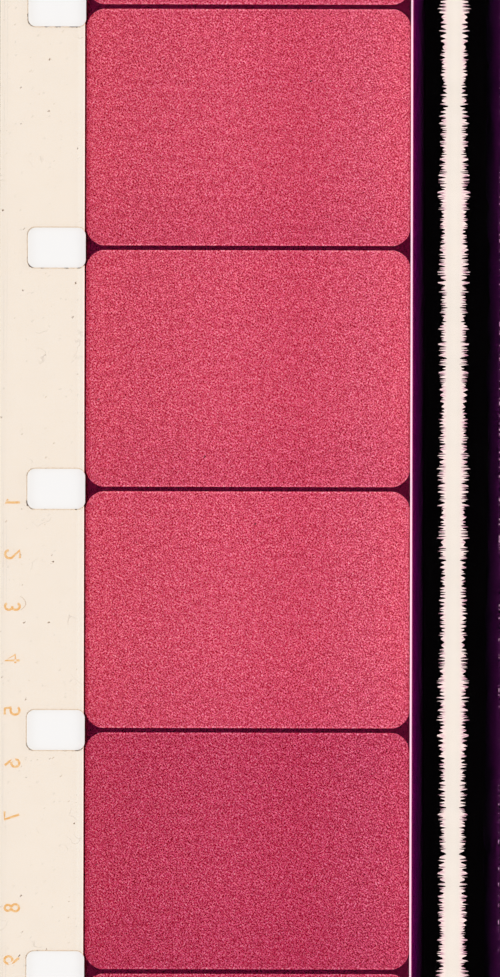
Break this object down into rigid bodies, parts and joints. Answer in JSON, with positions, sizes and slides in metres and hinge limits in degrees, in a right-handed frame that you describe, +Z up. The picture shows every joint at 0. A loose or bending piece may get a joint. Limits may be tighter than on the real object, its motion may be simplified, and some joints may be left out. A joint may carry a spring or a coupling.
{
  "type": "16 mm cine film strip",
  "caption": "Short strip of perforated colour print film with pictures, frame lines, margin numbers and a twin-edged optical sound trace; it curls at its frame lines.",
  "frame": {"origin": "middle of the strip on its base side", "axes": "+X across the film towards the soundtrack edge, +Y along the film towards frame 1, +Z up through the coats"},
  "size_m": [0.016, 0.0458, 0.0002],
  "materials": {
    "acetate": "clear cellulose acetate sheet, glossy, faintly warm",
    "yellow_gelatin": "gelatin coat with faded yellow dye",
    "cyan_gelatin": "gelatin coat whose cyan dye has nearly gone",
    "picture_dye": "grainy crimson dye image in gelatin",
    "dark_dye": "full density dark maroon dye in gelatin",
    "clear_gelatin": "undyed, slightly yellowed gelatin with fine dust",
    "track_silver": "opaque black developed silver in gelatin",
    "track_dye": "dense purple dye in gelatin",
    "overcoat": "thin clear gelatin overcoat, semi-gloss, lightly scratched",
    "edge_dye": "faint orange dye print"
  },
  "bodies": {
    "frame_1": {"support_1": "acetate", "yellow_coat_1": "yellow_gelatin", "cyan_coat_1": "cyan_gelatin", "picture_1": "picture_dye", "surround_1": "dark_dye", "clear_gelatin_1": "clear_gelatin", "silver_track_1": "track_silver", "track_dye_1": "track_dye", "overcoat_1": "overcoat"},
    "frame_2": {"support_2": "acetate", "yellow_coat_2": "yellow_gelatin", "cyan_coat_2": "cyan_gelatin", "picture_2": "picture_dye", "surround_2": "dark_dye", "clear_gelatin_2": "clear_gelatin", "silver_track_2": "track_silver", "track_dye_2": "track_dye", "overcoat_2": "overcoat"},
    "frame_3": {"support_3": "acetate", "yellow_coat_3": "yellow_gelatin", "cyan_coat_3": "cyan_gelatin", "picture_3": "picture_dye", "surround_3": "dark_dye", "clear_gelatin_3": "clear_gelatin", "silver_track_3": "track_silver", "track_dye_3": "track_dye", "overcoat_3": "overcoat"},
    "frame_4": {"support_4": "acetate", "yellow_coat_4": "yellow_gelatin", "cyan_coat_4": "cyan_gelatin", "picture_4": "picture_dye", "surround_4": "dark_dye", "clear_gelatin_4": "clear_gelatin", "silver_track_4": "track_silver", "track_dye_4": "track_dye", "overcoat_4": "overcoat", "edge_numbers_4": "edge_dye"},
    "frame_5": {"support_5": "acetate", "yellow_coat_5": "yellow_gelatin", "cyan_coat_5": "cyan_gelatin", "picture_5": "picture_dye", "surround_5": "dark_dye", "clear_gelatin_5": "clear_gelatin", "silver_track_5": "track_silver", "track_dye_5": "track_dye", "overcoat_5": "overcoat", "edge_numbers_5": "edge_dye"},
    "frame_6": {"support_6": "acetate", "yellow_coat_6": "yellow_gelatin", "cyan_coat_6": "cyan_gelatin", "picture_6": "picture_dye", "surround_6": "dark_dye", "clear_gelatin_6": "clear_gelatin", "silver_track_6": "track_silver", "track_dye_6": "track_dye", "overcoat_6": "overcoat"}
  },
  "joints": [
    {"name": "bend_2_3", "type": "hinge", "parent": "frame_3", "child": "frame_2", "pos_m": [0, 0.00762, 0.00008], "axis": [1, 0, 0], "range_deg": [-45, 45], "stiffness_Nm_per_rad": 0.0021},
    {"name": "bend_1_2", "type": "hinge", "parent": "frame_2", "child": "frame_1", "pos_m": [0, 0.01524, 0.00008], "axis": [1, 0, 0], "range_deg": [-45, 45], "stiffness_Nm_per_rad": 0.0021},
    {"name": "bend_3_4", "type": "hinge", "parent": "frame_3", "child": "frame_4", "pos_m": [0, 0, 0.00008], "axis": [-1, 0, 0], "range_deg": [-45, 45], "stiffness_Nm_per_rad": 0.0021},
    {"name": "bend_4_5", "type": "hinge", "parent": "frame_4", "child": "frame_5", "pos_m": [0, -0.00762, 0.00008], "axis": [-1, 0, 0], "range_deg": [-45, 45], "stiffness_Nm_per_rad": 0.0021},
    {"name": "bend_5_6", "type": "hinge", "parent": "frame_5", "child": "frame_6", "pos_m": [0, -0.01524, 0.00008], "axis": [-1, 0, 0], "range_deg": [-45, 45], "stiffness_Nm_per_rad": 0.0021}
  ]
}
